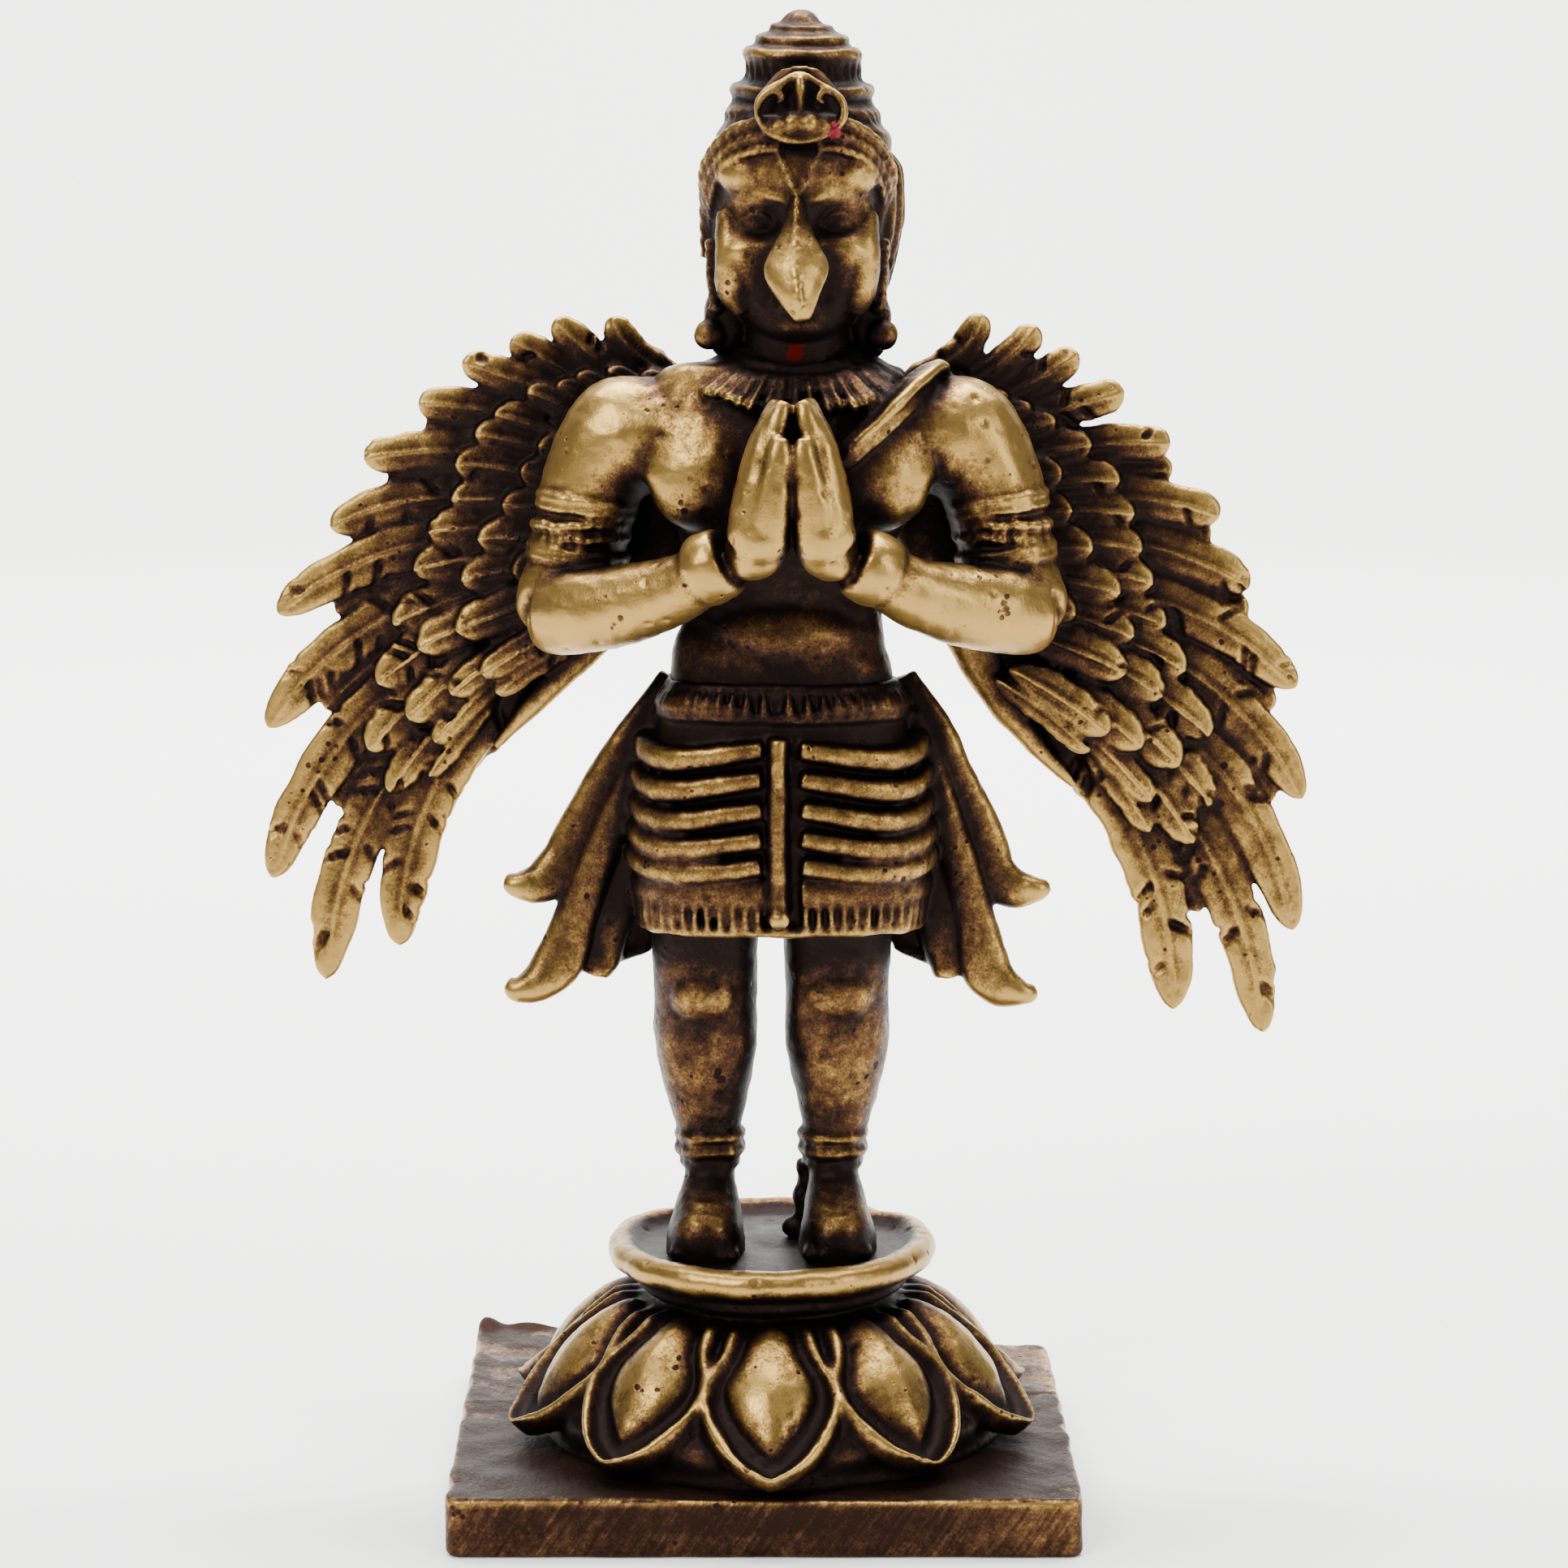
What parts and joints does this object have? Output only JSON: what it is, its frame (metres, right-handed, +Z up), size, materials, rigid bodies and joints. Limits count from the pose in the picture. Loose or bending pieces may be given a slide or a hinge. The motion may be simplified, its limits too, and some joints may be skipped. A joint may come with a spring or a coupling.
{
  "type": "brass garuda statue",
  "caption": "Cast brass garuda, a beaked and winged deity with folded hands, standing on a lotus and a flat plinth.",
  "frame": {"origin": "point of the plinth's underside below the lotus's axis", "axes": "+Z up to the crown, -Y the way the figure faces, +X to the viewer's right"},
  "size_m": [0.0664, 0.0375, 0.0901],
  "materials": {
    "antique_brass": "antiqued, dark in the hollows and rubbed bright on the high places"
  },
  "bodies": {
    "root": {"garuda_statue": "antique_brass"}
  },
  "joints": []
}
